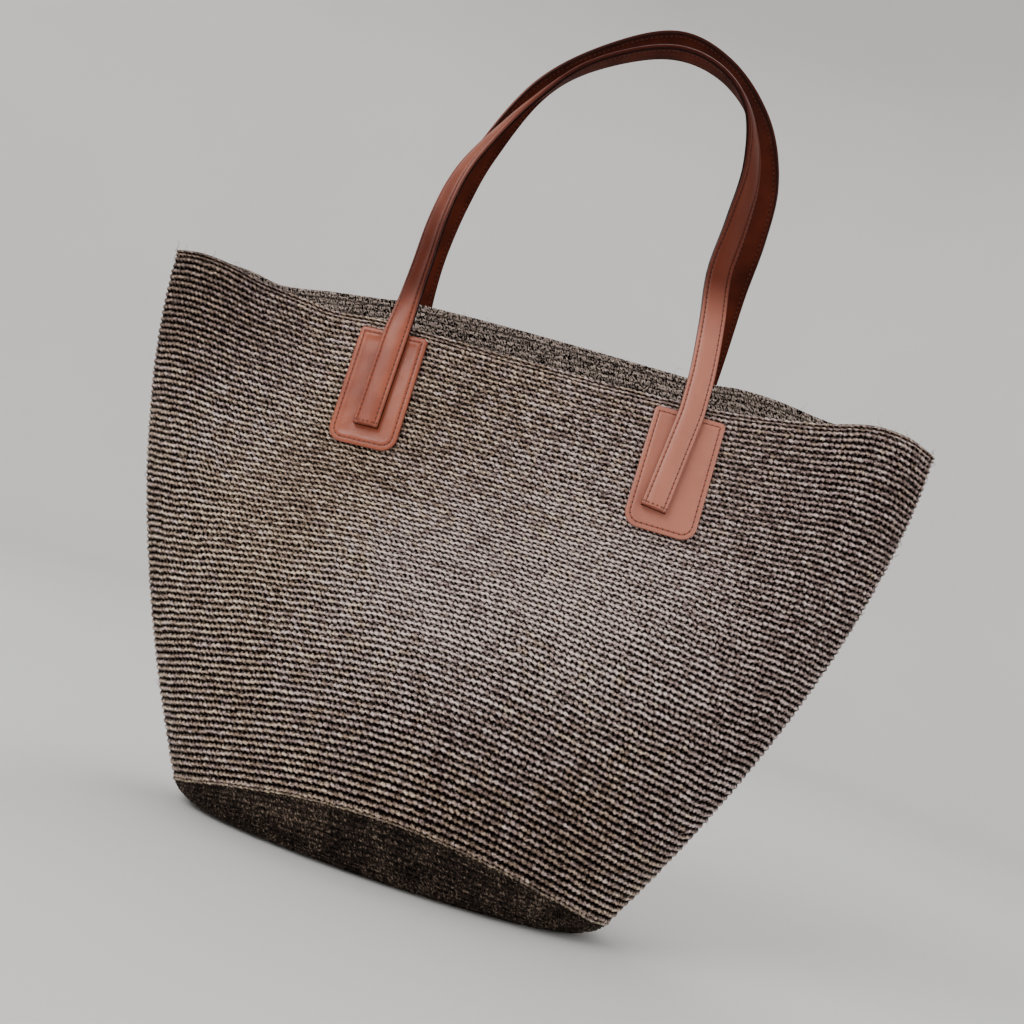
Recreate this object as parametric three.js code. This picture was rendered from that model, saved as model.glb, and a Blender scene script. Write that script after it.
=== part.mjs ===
// A crocheted raffia tote bag with two leather strap handles sewn on through leather patches.
// Millimetres, +Z up, the front wall faces -Y, and the origin lies under the middle of the bag
// on the surface that it stands on.
import * as THREE from 'three';

// Woven body
const MOUTH_HALF = 275; // half of the mouth's length, corner to corner
const MOUTH_DEPTH_HALF = 32; // half of the gap between the front and back of the mouth
const BASE_HALF = 155; // half of the base's length at the turn into the wall
const BASE_DEPTH_HALF = 62;
const BELLY = 14; // how far the walls swell out beyond a straight run from base to mouth
const BELLY_LOW = 0.66; // below 1 brings the swelling nearer the base
const FLARE = 1.68; // above 1 opens the ends out low down and straightens them near the mouth
const CORNER_HEIGHT = 368; // the mouth's two corners
const FRONT_SAG = 17; // the front edge hangs lower than the corners in its middle
const BACK_RISE = 16; // and the back edge stands higher
const EDGE_SWEEP = 1.5; // how suddenly the edge leaves the corners
// The mouth is soft, and its edge rises above that even sweep or sinks below it. Each entry is a
// share of the way from the middle to a corner, left negative, and the rise there.
const FRONT_WAVE = [
  [-1, 0], [-0.915, 4], [-0.82, 3.5], [-0.72, -0.5], [-0.6, -2.5], [-0.51, -4], [-0.36, 0],
  [0.45, 0], [0.58, 2.5], [0.73, 7.5], [0.84, 12.5], [0.93, 9], [1, 0],
];
const BACK_WAVE = [
  [-1, 0], [-0.915, -1], [-0.82, -4], [-0.73, -9.5], [-0.6, -6], [-0.48, -3], [-0.37, 0],
  [0.43, 0], [0.52, 3], [0.62, 3], [0.74, 0], [0.87, 0], [1, 0],
];
const END_LIFT = 14; // height of the turn between base and wall at the two ends
const FRONT_ARCH = 30.5; // the turn climbs by this much more in the middle of the front
const BACK_ARCH = 4;
const TURN_IN = 28; // from the turn inwards to where the base lies on the surface
const TURN_LEAN = 0.25; // share of that inward run that the underside takes evenly
const CLOTH = 4; // thickness of the crocheted cloth
const EDGE_BAND = 5; // height of the finishing round along the mouth
const EDGE_SWELL = 0.5; // the finishing round stands proud of the cloth on both sides

// Leather patches
const PATCH_WIDTH = 47;
const PATCH_LENGTH = 81.5;
const PATCH_THICK = 3;
const PATCH_BEVEL = 0.9;
const PATCH_TOP_ROUND = 3;
const PATCH_FOOT_ROUND = 10;
const PATCH_DROP = 7.5; // from the mouth's edge down to the patch
const FRONT_LEFT_TILT = 2.6; // degrees that this patch is sewn on askew, its foot to the right
const BACKING_MARGIN = 3; // the inner patch is smaller at its sides and foot
const BACKING_TOP_MARGIN = 13; // it ends well below the mouth's edge
const BACKING_THICK = 1.6;
const BACKING_BEVEL = 0.4;

// Leather straps
const STRAP_WIDTH = 17;
const LINING_THICK = 1.3;
const FACE_THICK = 3.0; // at the crown, over the core
const FACE_EDGE = 1.5; // at the two long edges
const CORE_WIDTH = 11;
const CORE_THICK = 0.8;
const STRAP_FOOT = 14; // from the patch's lower edge up to the strap's sewn end

// Handles
const FRONT_CENTRE = 11.5; // the handles sit a little right of the middle
const BACK_CENTRE = 9;
const FRONT_SPREAD = 101.5; // half of the distance between a handle's two straps
const BACK_SPREAD = 107.5;
const FRONT_CLIMB = 246.5; // from the patch's top to the middle of the strap at its highest
const BACK_CLIMB = 240;
const TOP_APART = 11; // each handle's top lies this far from the middle plane
const FRONT_LEFT_LEAN = -1.6; // degrees that a strap's sewn end leans off its patch
const FRONT_RIGHT_LEAN = 5.5;
const BACK_LEAN = 1.5;

// Clearances
const SEAT = 0.3; // between pieces that lie against each other
const PATCH_SEAT = 0.4; // under a patch, where the cloth is rounded
const CORE_SEAT = 0.5; // round a handle's core, where the strap twists

// Smoothness of the curved forms
const ROUND_STEPS = 72;
const WALL_STEPS = 12;
const LINING_WALL_STEPS = 6;
const BASE_STEPS = 4;
const EDGE_SIDES = 8;
const LOOP_STEPS = 56;

const FRONT = -1;
const BACK = 1;
const lerp = THREE.MathUtils.lerp;
const clamp = THREE.MathUtils.clamp;
const rad = THREE.MathUtils.degToRad;

// The woven body's surface. t runs from 0 at the turn above the base to 1 at the mouth's edge, and
// angle runs round the bag from its +X end by way of the back.
const halfLength = (t) => BASE_HALF + (MOUTH_HALF - BASE_HALF) * (1 - (1 - t) ** FLARE);
const halfDepth = (t) => lerp(BASE_DEPTH_HALF, MOUTH_DEPTH_HALF, t)
  + BELLY * Math.sin(Math.PI * clamp(t, 0, 1) ** BELLY_LOW);

// The height of a smooth curve through a table's entries.
function waveAt(table, at) {
  let i = 0;
  while (i < table.length - 2 && at > table[i + 1][0]) i += 1;
  const slope = (k) => {
    const [before, after] = [table[Math.max(k - 1, 0)], table[Math.min(k + 1, table.length - 1)]];
    return (after[1] - before[1]) / (after[0] - before[0]);
  };
  const [[start, from], [end, to]] = [table[i], table[i + 1]];
  const run = end - start;
  const s = (at - start) / run;
  const ease = s * s * (3 - 2 * s);
  return lerp(from, to, ease) + run * s * (1 - s) * (slope(i) * (1 - s) - slope(i + 1) * s);
}

function edgeHeight(angle) {
  const s = Math.sin(angle);
  const sweep = Math.abs(s) ** EDGE_SWEEP;
  const wave = waveAt(s < 0 ? FRONT_WAVE : BACK_WAVE, Math.cos(angle));
  return CORNER_HEIGHT + (s < 0 ? -FRONT_SAG : BACK_RISE) * sweep + wave;
}

function turnHeight(angle) {
  const s = Math.sin(angle);
  return END_LIFT + (s < 0 ? FRONT_ARCH : BACK_ARCH) * s * s;
}

function wallPoint(angle, t, inset = 0) {
  return new THREE.Vector3(
    (halfLength(t) - inset) * Math.cos(angle),
    (halfDepth(t) - inset) * Math.sin(angle),
    lerp(turnHeight(angle), edgeHeight(angle), t),
  );
}

// The point of the wall at a given x and z on one side of the bag, found by settling on its t.
function wallAt(x, z, side, inset = 0) {
  const SETTLE_ROUNDS = 24;
  const FIRST_GUESS = 0.8;
  let t = FIRST_GUESS;
  let angle = side * Math.PI / 2;
  for (let i = 0; i < SETTLE_ROUNDS; i += 1) {
    angle = side * Math.acos(clamp(x / (halfLength(t) - inset), -1, 1));
    t = (z - turnHeight(angle)) / (edgeHeight(angle) - turnHeight(angle));
  }
  return wallPoint(angle, t, inset);
}

// The wall's outward direction at a given x and z.
function wallFacing(x, z, side) {
  const REACH = 4;
  const across = wallAt(x + REACH, z, side).sub(wallAt(x - REACH, z, side));
  const up = wallAt(x, z + REACH, side).sub(wallAt(x, z - REACH, side));
  return across.cross(up).multiplyScalar(-side).normalize();
}

// The base below the turn: r runs from 0 at the turn to 1 where the base lies on the surface, and
// on to 2 at its middle.
function basePoint(angle, r, inset = 0) {
  const q = clamp(r, 0, 1) * Math.PI / 2;
  const inwards = TURN_IN * (TURN_LEAN * Math.sin(q) + (1 - TURN_LEAN) * (1 - Math.cos(q)));
  const middle = clamp(2 - r, 0, 1);
  return new THREE.Vector3(
    (BASE_HALF - inwards - inset) * middle * Math.cos(angle),
    (BASE_DEPTH_HALF - inwards - inset) * middle * Math.sin(angle),
    turnHeight(angle) * (1 - Math.sin(q)) + inset * Math.sin(q),
  );
}

// Builders of closed meshes
function meshFrom(points, faces) {
  const geometry = new THREE.BufferGeometry();
  const [a, b, c] = [new THREE.Vector3(), new THREE.Vector3(), new THREE.Vector3()];
  let volume = 0;
  for (const [i, j, k] of faces) {
    volume += a.copy(points[i]).dot(b.copy(points[j]).cross(c.copy(points[k])));
  }
  const order = volume < 0 ? faces.map(([i, j, k]) => [i, k, j]) : faces;
  geometry.setAttribute('position', new THREE.Float32BufferAttribute(
    points.flatMap((p) => p.toArray()), 3));
  geometry.setIndex(order.flat());
  geometry.computeVertexNormals();
  return geometry;
}

// Joins closed rings of equal count, one after the other. A ring of one point is a tip. With
// around, the last ring joins the first again.
function skin(rings, around = false) {
  const points = rings.flat();
  const starts = [];
  let count = 0;
  for (const ring of rings) {
    starts.push(count);
    count += ring.length;
  }
  const faces = [];
  const last = around ? rings.length : rings.length - 1;
  for (let i = 0; i < last; i += 1) {
    const next = (i + 1) % rings.length;
    const [low, high] = [rings[i].length, rings[next].length];
    const n = Math.max(low, high);
    for (let j = 0; j < n; j += 1) {
      const k = (j + 1) % n;
      const corner = (ring, step) => starts[ring] + (rings[ring].length === 1 ? 0 : step);
      if (low > 1) faces.push([corner(i, j), corner(i, k), corner(next, j)]);
      if (high > 1) faces.push([corner(i, k), corner(next, k), corner(next, j)]);
    }
  }
  return meshFrom(points, faces);
}

// Lofts a section, given as a closed outline per station, and closes both ends flat.
function loft(stations, endOutlines) {
  const n = stations[0].length;
  const points = stations.flat();
  const faces = [];
  for (let i = 0; i + 1 < stations.length; i += 1) {
    for (let j = 0; j < n; j += 1) {
      const k = (j + 1) % n;
      const [a, b] = [i * n, (i + 1) * n];
      faces.push([a + j, a + k, b + j], [a + k, b + k, b + j]);
    }
  }
  // The winding of the end faces follows the sides' through the outline's own direction.
  const turn = THREE.ShapeUtils.isClockWise(endOutlines[0]) ? -1 : 1;
  for (const [end, outline] of endOutlines.entries()) {
    const start = end === 0 ? 0 : (stations.length - 1) * n;
    for (const [i, j, k] of THREE.ShapeUtils.triangulateShape(outline, [])) {
      const area = outline[j].clone().sub(outline[i]).cross(outline[k].clone().sub(outline[i]));
      const sameWay = area * turn > 0;
      const outwards = (end === 0) !== sameWay;
      const corners = outwards ? [i, j, k] : [i, k, j];
      faces.push(corners.map((c) => start + c));
    }
  }
  return meshFrom(points, faces);
}

const bag = new THREE.Group();
const raffia = { color: 0x6f6258, roughness: 0.9, metalness: 0 };
const darkRaffia = { color: 0x41342b, roughness: 0.9, metalness: 0 };
const tan = { color: 0x9c5a43, roughness: 0.5, metalness: 0 };
const brown = { color: 0x6a3a29, roughness: 0.75, metalness: 0 };
const board = { color: 0x8a7a66, roughness: 0.9, metalness: 0 };

function add(name, geometry, finish) {
  const mesh = new THREE.Mesh(geometry, new THREE.MeshStandardMaterial(finish));
  mesh.name = name;
  bag.add(mesh);
}

// Woven wall, base and edge
const angles = Array.from({ length: ROUND_STEPS }, (_, i) => (i / ROUND_STEPS) * 2 * Math.PI);

function wallRing(share, inset) {
  return angles.map((angle) => {
    const height = edgeHeight(angle) - turnHeight(angle);
    const low = SEAT / height;
    const high = 1 - (EDGE_BAND + SEAT) / height;
    return wallPoint(angle, lerp(low, high, share), inset);
  });
}

function wovenWall() {
  const rings = [];
  for (let i = 0; i <= WALL_STEPS; i += 1) rings.push(wallRing(i / WALL_STEPS, 0));
  for (let i = LINING_WALL_STEPS; i >= 0; i -= 1) rings.push(wallRing(i / LINING_WALL_STEPS, CLOTH));
  return skin(rings, true);
}

function wovenBase() {
  const ring = (r, inset) => angles.map((angle) => basePoint(angle, r, inset));
  const HALF_WAY_IN = 1.5;
  const rings = [[basePoint(0, 2)], ring(HALF_WAY_IN, 0)];
  for (let i = BASE_STEPS; i >= 0; i -= 1) rings.push(ring(i / BASE_STEPS, 0));
  for (let i = 0; i <= BASE_STEPS; i += 1) rings.push(ring(i / BASE_STEPS, CLOTH));
  rings.push(ring(HALF_WAY_IN, CLOTH), [basePoint(0, 2, CLOTH)]);
  return skin(rings);
}

function wovenEdge() {
  const rings = [];
  for (let i = 0; i < EDGE_SIDES; i += 1) {
    const q = (i / EDGE_SIDES) * 2 * Math.PI;
    const inset = CLOTH / 2 - (CLOTH / 2 + EDGE_SWELL) * Math.cos(q);
    const drop = (EDGE_BAND / 2) * (1 - Math.sin(q));
    rings.push(angles.map((angle) => {
      const p = wallPoint(angle, 1, inset);
      p.z -= drop;
      return p;
    }));
  }
  return skin(rings, true);
}

add('woven_base', wovenBase(), darkRaffia);
add('woven_wall', wovenWall(), raffia);
add('woven_edge', wovenEdge(), raffia);

// Patches. A patch hangs a set drop below the mouth's edge and follows the wall under it.
const centre = (side) => (side === FRONT ? FRONT_CENTRE : BACK_CENTRE);
const spread = (side) => (side === FRONT ? FRONT_SPREAD : BACK_SPREAD);
const patchX = (side, hand) => centre(side) + hand * spread(side);

function patchTop(side) {
  const edges = [-1, 1].map((hand) => {
    const angle = side * Math.acos(patchX(side, hand) / MOUTH_HALF);
    return edgeHeight(angle);
  });
  return Math.min(...edges) - PATCH_DROP;
}

// Half width of a rounded plate at a distance below its top.
function halfWidthAt(down, width, length, topRound, footRound) {
  const fromTop = topRound - down;
  const fromFoot = down - (length - footRound);
  let loss = 0;
  if (fromTop > 0) loss = topRound - Math.sqrt(topRound ** 2 - fromTop ** 2);
  if (fromFoot > 0) loss = footRound - Math.sqrt(Math.max(footRound ** 2 - fromFoot ** 2, 0));
  return width / 2 - loss;
}

function stationsDown(length, topRound, footRound) {
  const SMALL_STEPS = 3;
  const LONG_STEPS = 5;
  const down = [];
  for (let i = 0; i < SMALL_STEPS; i += 1) {
    down.push(topRound * (1 - Math.cos((i / SMALL_STEPS) * Math.PI / 2)));
  }
  for (let i = 0; i < LONG_STEPS; i += 1) {
    down.push(lerp(topRound, length - footRound, i / LONG_STEPS));
  }
  for (let i = 0; i <= SMALL_STEPS; i += 1) {
    down.push(length - footRound * (1 - Math.sin((i / SMALL_STEPS) * Math.PI / 2)));
  }
  return down;
}

// A plate on the wall: outwards is how far its face that lies on the cloth stands off, thick goes
// on from there, and a negative thick builds it into the bag.
function plate(side, hand, margin, topMargin, outwards, thick, bevel, inset) {
  const END_CROWN = bevel / 4; // keeps the end faces from lying in one line with the bevels
  const width = PATCH_WIDTH - 2 * margin;
  const length = PATCH_LENGTH - margin - topMargin;
  const topRound = PATCH_TOP_ROUND;
  const footRound = PATCH_FOOT_ROUND - margin;
  const tilt = rad(side === FRONT && hand < 0 ? FRONT_LEFT_TILT : 0);
  const outline = (half) => [
    [-half, 0], [half, 0], [half, thick - bevel], [half - Math.abs(bevel), thick],
    [Math.abs(bevel) - half, thick], [-half, thick - bevel],
  ];
  const downs = stationsDown(length, topRound, footRound);
  const ends = [0, downs.length - 1];
  const outlines = [];
  const stations = downs.map((down, i) => {
    const half = halfWidthAt(down, width, length, topRound, footRound);
    const bevelled = ends.includes(i);
    const section = outline(half).map(([across, out], corner) => {
      const squashed = bevelled && corner > 1 ? thick - bevel : out;
      return [across, squashed];
    });
    if (bevelled) {
      section[3][1] += END_CROWN;
      section[4][1] += END_CROWN;
      outlines.push(section.map(([across, out]) => new THREE.Vector2(across, out)));
    }
    return section.map(([across, out]) => {
      const low = topMargin + down - PATCH_LENGTH / 2; // below the patch's middle, which it turns about
      const x = patchX(side, hand) + across * Math.cos(tilt) + low * Math.sin(tilt);
      const up = across * Math.sin(tilt) - low * Math.cos(tilt);
      const p = wallAt(x, patchTop(side) - PATCH_LENGTH / 2 + up, side, inset);
      p.y += side * (outwards + out);
      return p;
    });
  });
  return loft(stations, outlines);
}

const hands = { left: -1, right: 1 };
const sides = { front: FRONT, back: BACK };

for (const [sideName, side] of Object.entries(sides)) {
  for (const [handName, hand] of Object.entries(hands)) {
    add(`patch_${sideName}_${handName}`,
      plate(side, hand, 0, 0, PATCH_SEAT, PATCH_THICK, PATCH_BEVEL, 0), tan);
    add(`backing_${sideName}_${handName}`, plate(side, hand, BACKING_MARGIN, BACKING_TOP_MARGIN,
      -PATCH_SEAT, -BACKING_THICK, -BACKING_BEVEL, CLOTH), brown);
  }
}

// Straps. A section is drawn across the strap and outwards, about the middle of its thickness.
const STRAP_THICK = LINING_THICK + SEAT + FACE_THICK;
const liningBack = -STRAP_THICK / 2;
const liningFront = liningBack + LINING_THICK;
const faceBack = liningFront + SEAT;
const faceCrown = faceBack + FACE_THICK;
const coreHalf = CORE_WIDTH / 2;
const strapHalf = STRAP_WIDTH / 2;

const liningSection = [
  [-strapHalf, liningBack], [strapHalf, liningBack],
  [strapHalf, liningFront], [-strapHalf, liningFront],
];
const coreBack = faceBack + CORE_SEAT - SEAT;
const coreFront = coreBack + CORE_THICK;
// Its points run the other way round, so that its facets lie along those of the recess.
const coreSection = [
  [-coreHalf, coreBack], [-coreHalf, coreFront], [coreHalf, coreFront], [coreHalf, coreBack],
];

// The crown is an arc over the strap's width, and the recess under it takes the core.
function faceSection(hollow) {
  const CROWN_POINTS = 5;
  const section = [];
  for (let i = 0; i < CROWN_POINTS; i += 1) {
    const across = 1 - (2 * i) / (CROWN_POINTS - 1);
    section.push([strapHalf * across, lerp(faceCrown, faceBack + FACE_EDGE, across * across)]);
  }
  section.push([-strapHalf, faceBack]);
  if (hollow) {
    const wall = coreHalf + CORE_SEAT;
    const roof = coreFront + CORE_SEAT;
    section.push([-wall, faceBack], [-wall, roof], [wall, roof], [wall, faceBack]);
  }
  section.push([strapHalf, faceBack]);
  return section;
}

// Sweeps a section along a strap's frames. A frame with a cut is trimmed level at that height.
function sweep(frames, section) {
  const outline = section.map(([across, out]) => new THREE.Vector2(across, out));
  const stations = frames.map(({ middle, along, across, out, cut }) => section.map(([w, n]) => {
    const p = middle.clone().addScaledVector(across, w).addScaledVector(out, n);
    if (cut !== undefined) p.addScaledVector(along, (cut - p.z) / along.z);
    return p;
  }));
  return loft(stations, [outline, outline]);
}

// Distance of a strap's middle from the middle plane where it leaves the patch.
function legDepth(side, hand) {
  const y = Math.abs(wallAt(patchX(side, hand), patchTop(side), side).y);
  return y + PATCH_SEAT + PATCH_THICK + SEAT + STRAP_THICK / 2;
}

const leans = {
  front_left: FRONT_LEFT_LEAN,
  front_right: FRONT_RIGHT_LEAN,
  back_left: -BACK_LEAN,
  back_right: BACK_LEAN,
};

// The sewn end lies on the patch, from its foot up to the patch's top.
function sewnFrames(side, hand, lean) {
  const STATIONS = 8;
  const length = PATCH_LENGTH - STRAP_FOOT;
  const point = (down) => {
    const x = patchX(side, hand) - Math.tan(rad(lean)) * down;
    const p = wallAt(x, patchTop(side) - down, side);
    p.y += side * (PATCH_SEAT + PATCH_THICK + SEAT + STRAP_THICK / 2);
    return p;
  };
  const frames = [];
  for (let i = 0; i <= STATIONS; i += 1) {
    const down = length * (1 - i / STATIONS);
    const middle = point(down);
    const up = point(down - 1).sub(point(down + 1)).normalize();
    const out = wallFacing(middle.x, middle.z, side);
    out.addScaledVector(up, -out.dot(up)).normalize();
    const across = up.clone().cross(out);
    frames.push({ middle, along: up, across, out });
  }
  frames.at(-1).cut = patchTop(side);
  return frames;
}

// A handle's route above the patches, left to right: its share of the spread, its share of the
// climb, and the degrees that the strap has turned towards lying flat over the hand. The strap is
// soft, so its two legs don't climb or turn alike and the top sways to the right.
const frontRoute = [
  [-1, 0, 0], [-0.998, 0.101, 20], [-1, 0.213, 27], [-1.005, 0.35, 31], [-0.972, 0.481, 36],
  [-0.877, 0.594, 43], [-0.655, 0.757, 58], [-0.35, 0.903, 70], [0.123, 1, 75],
  [0.498, 0.988, 75], [0.793, 0.891, 68], [0.931, 0.728, 46], [0.937, 0.554, 26],
  [0.918, 0.404, 14], [0.962, 0.262, 6], [0.994, 0.121, 1], [1, 0, 0],
];
const backRoute = [
  [-1, 0, 0], [-1.01, 0.085, 4], [-1, 0.208, 10], [-0.945, 0.374, 22], [-0.845, 0.536, 42],
  [-0.607, 0.759, 64], [-0.227, 0.914, 72], [0.195, 1, 72], [0.576, 0.949, 70],
  [0.883, 0.81, 58], [1.031, 0.641, 36], [1.047, 0.477, 18], [1.021, 0.311, 8],
  [1.012, 0.146, 2], [1, 0, 0],
];

function loopFrames(side, route, climb) {
  const start = patchTop(side) + SEAT;
  const depths = [legDepth(side, -1), legDepth(side, 1)];
  const facings = [-1, 1].map((hand) => wallFacing(patchX(side, hand), start, side));
  const TENSION = 0.5;
  const curve = new THREE.CatmullRomCurve3(route.map(([share, up]) => {
    const leg = lerp(depths[0], depths[1], (clamp(share, -1, 1) + 1) / 2);
    const depth = lerp(leg, TOP_APART, Math.sin(up * Math.PI / 2));
    return new THREE.Vector3(
      centre(side) + spread(side) * share, side * depth, start + climb * up);
  }), false, 'catmullrom', TENSION);
  const turns = new THREE.CatmullRomCurve3(
    route.map(([, , turn]) => new THREE.Vector3(turn, 0, 0)), false, 'catmullrom', TENSION);
  const frames = [];
  for (let i = 0; i <= LOOP_STEPS; i += 1) {
    const middle = curve.getPoint(i / LOOP_STEPS);
    const along = curve.getTangent(i / LOOP_STEPS);
    const turn = rad(turns.getPoint(i / LOOP_STEPS).x);
    const rightward = clamp((middle.x - centre(side)) / spread(side), -1, 1) / 2 + 0.5;
    const facing = facings[0].clone().lerp(facings[1], rightward);
    facing.addScaledVector(along, -facing.dot(along)).normalize();
    // From left to right over the top, this points away from the loop's inside.
    const away = new THREE.Vector3().crossVectors(new THREE.Vector3(0, -1, 0), along);
    away.addScaledVector(facing, -away.dot(facing)).normalize();
    const out = facing.multiplyScalar(Math.cos(turn)).addScaledVector(away, Math.sin(turn));
    const across = along.clone().cross(out);
    frames.push({ middle, along, across, out });
  }
  frames[0].cut = start;
  frames.at(-1).cut = start;
  return frames;
}

for (const [sideName, side] of Object.entries(sides)) {
  for (const [handName, hand] of Object.entries(hands)) {
    const frames = sewnFrames(side, hand, leans[`${sideName}_${handName}`]);
    add(`strap_end_${sideName}_${handName}_face`, sweep(frames, faceSection(false)), tan);
    add(`strap_end_${sideName}_${handName}_lining`, sweep(frames, liningSection), brown);
  }
  const route = side === FRONT ? frontRoute : backRoute;
  const frames = loopFrames(side, route, side === FRONT ? FRONT_CLIMB : BACK_CLIMB);
  add(`handle_${sideName}_face`, sweep(frames, faceSection(true)), tan);
  add(`handle_${sideName}_core`, sweep(frames, coreSection), board);
  add(`handle_${sideName}_lining`, sweep(frames, liningSection), brown);
}

export default bag;
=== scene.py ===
# A crocheted raffia tote bag with two leather strap handles, dressed over its CAD frame.
import math

import bpy
import numpy as np
from mathutils import Matrix, Vector


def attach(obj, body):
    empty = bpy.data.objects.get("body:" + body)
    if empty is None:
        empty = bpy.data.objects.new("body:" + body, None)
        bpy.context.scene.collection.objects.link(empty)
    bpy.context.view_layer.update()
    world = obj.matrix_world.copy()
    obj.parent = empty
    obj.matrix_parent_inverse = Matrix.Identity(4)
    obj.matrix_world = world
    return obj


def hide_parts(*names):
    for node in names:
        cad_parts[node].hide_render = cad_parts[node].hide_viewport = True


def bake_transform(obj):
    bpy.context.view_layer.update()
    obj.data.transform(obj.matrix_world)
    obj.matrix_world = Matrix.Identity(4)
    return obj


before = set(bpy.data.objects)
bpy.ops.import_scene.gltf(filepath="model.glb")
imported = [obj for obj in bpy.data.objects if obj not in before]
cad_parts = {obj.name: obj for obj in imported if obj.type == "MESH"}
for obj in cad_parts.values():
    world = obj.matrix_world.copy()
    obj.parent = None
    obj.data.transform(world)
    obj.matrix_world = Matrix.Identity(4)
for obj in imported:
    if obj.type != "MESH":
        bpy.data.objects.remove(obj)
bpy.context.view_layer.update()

chance = np.random.default_rng(7)

# The bag's sizes, in mm, as the CAD has them
MM = 0.001
MOUTH_HALF, MOUTH_DEPTH_HALF = 275.0, 32.0
BASE_HALF, BASE_DEPTH_HALF = 155.0, 62.0
BELLY, BELLY_LOW, FLARE = 14.0, 0.66, 1.68
CORNER_HEIGHT, FRONT_SAG, BACK_RISE, EDGE_SWEEP = 368.0, 17.0, 16.0, 1.5
END_LIFT, FRONT_ARCH, BACK_ARCH = 14.0, 30.5, 4.0
TURN_IN, TURN_LEAN = 28.0, 0.25
CLOTH, EDGE_BAND = 4.0, 5.0
PATCH_WIDTH, PATCH_LENGTH, PATCH_THICK, PATCH_DROP = 47.0, 81.5, 3.0, 7.5
PATCH_TOP_ROUND, PATCH_FOOT_ROUND = 3.0, 10.0
BACKING_MARGIN, BACKING_TOP_MARGIN, BACKING_THICK = 3.0, 13.0, 1.6
STRAP_WIDTH, LINING_THICK, FACE_THICK = 17.0, 1.3, 3.0
STRAP_FOOT, TOP_APART = 14.0, 11.0
SEAT, PATCH_SEAT = 0.3, 0.4
FRONT, BACK = -1, 1
SIDES = {"front": FRONT, "back": BACK}
HANDS = {"left": -1, "right": 1}
CENTRE = {FRONT: 11.5, BACK: 9.0}
SPREAD = {FRONT: 101.5, BACK: 107.5}
CLIMB = {FRONT: 246.5, BACK: 240.0}
TILTS = {(FRONT, -1): 2.6, (FRONT, 1): 0.0, (BACK, -1): 0.0, (BACK, 1): 0.0}
LEANS = {(FRONT, -1): -1.6, (FRONT, 1): 5.5, (BACK, -1): -1.5, (BACK, 1): 1.5}

# The mouth's rise over its even sweep, by the share of the way from its middle to a corner
FRONT_WAVE = np.array([
    (-1, 0), (-.915, 4), (-.82, 3.5), (-.72, -.5), (-.6, -2.5), (-.51, -4), (-.36, 0),
    (.45, 0), (.58, 2.5), (.73, 7.5), (.84, 12.5), (.93, 9), (1, 0)])
BACK_WAVE = np.array([
    (-1, 0), (-.915, -1), (-.82, -4), (-.73, -9.5), (-.6, -6), (-.48, -3), (-.37, 0),
    (.43, 0), (.52, 3), (.62, 3), (.74, 0), (.87, 0), (1, 0)])

# A handle's route, left to right: share of the spread, share of the climb, turn in degrees
ROUTES = {
    FRONT: [(-1, 0, 0), (-.998, .101, 20), (-1, .213, 27), (-1.005, .35, 31), (-.972, .481, 36),
            (-.877, .594, 43), (-.655, .757, 58), (-.35, .903, 70), (.123, 1, 75), (.498, .988, 75),
            (.793, .891, 68), (.931, .728, 46), (.937, .554, 26), (.918, .404, 14), (.962, .262, 6),
            (.994, .121, 1), (1, 0, 0)],
    BACK: [(-1, 0, 0), (-1.01, .085, 4), (-1, .208, 10), (-.945, .374, 22), (-.845, .536, 42),
           (-.607, .759, 64), (-.227, .914, 72), (.195, 1, 72), (.576, .949, 70), (.883, .81, 58),
           (1.031, .641, 36), (1.047, .477, 18), (1.021, .311, 8), (1.012, .146, 2), (1, 0, 0)],
}

# The strap's section, in mm from its middle
STRAP_THICK = LINING_THICK + SEAT + FACE_THICK
STRAP_HALF = STRAP_WIDTH / 2
LINING_BACK = -STRAP_THICK / 2
FACE_BACK = LINING_BACK + LINING_THICK + SEAT
FACE_MARGIN = 2.1
SEAM_IN = 2.4
SEAM_AT = STRAP_HALF - SEAM_IN
STITCH_PITCH = 3.5
HOLE_RADIUS = 0.66
STRAP_BEND = 16.0  # how far above its patch a strap would bend as its handle folds; it only sets the ends of the blend, which nothing here reads

# The weave
ROWS = 82
STITCH = 3.75
STITCH_STEPS = 5
ROW_BANDS = 7
FLANK_ROWS, FLAT_ROWS = 13, 8
FLAT_PITCH = 4.0
WALL_RISE, WALL_RADIUS = 320.0, 220.0  # about how high and how far out the wall is
# Numbers of the rows that aren't the wall's
BASE_ROW, CREASE_ROW, EDGE_ROW, FIBRE_ROW = 100, 200, 300, 400


# Vectors
def lerp(a, b, t):
    return a + (b - a) * t


def unit(v):
    return v / np.maximum(np.linalg.norm(v, axis=-1, keepdims=True), 1e-9)


def smooth(low, high, x):
    t = np.clip((x - low) / (high - low), 0, 1)
    return t * t * (3 - 2 * t)


def hump(x, middle, width):
    """A smooth rise to 1 at a middle, and back."""
    return np.exp(-((x - middle) / width) ** 2)


def stacked(*values):
    """Numbers or arrays side by side in a new last axis."""
    return np.stack(np.broadcast_arrays(*values), -1)


def square_to(v, way):
    """The unit part of v that is square to a way."""
    return unit(v - way * np.sum(v * way, -1, keepdims=True))


def run_along(line):
    """How far along a line each of its points lies."""
    return np.concatenate([[0], np.cumsum(np.linalg.norm(np.diff(line, axis=0), axis=1))])


def spots(at, run, line):
    """A line's points at some distances along it."""
    return np.stack([np.interp(at, run, column) for column in line.T], -1)


# The bag's shell
def half_length(t):
    return BASE_HALF + (MOUTH_HALF - BASE_HALF) * (1 - (1 - t) ** FLARE)


def half_depth(t):
    belly = BELLY * np.sin(np.pi * np.clip(t, 0, 1) ** BELLY_LOW)
    return lerp(BASE_DEPTH_HALF, MOUTH_DEPTH_HALF, t) + belly


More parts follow.
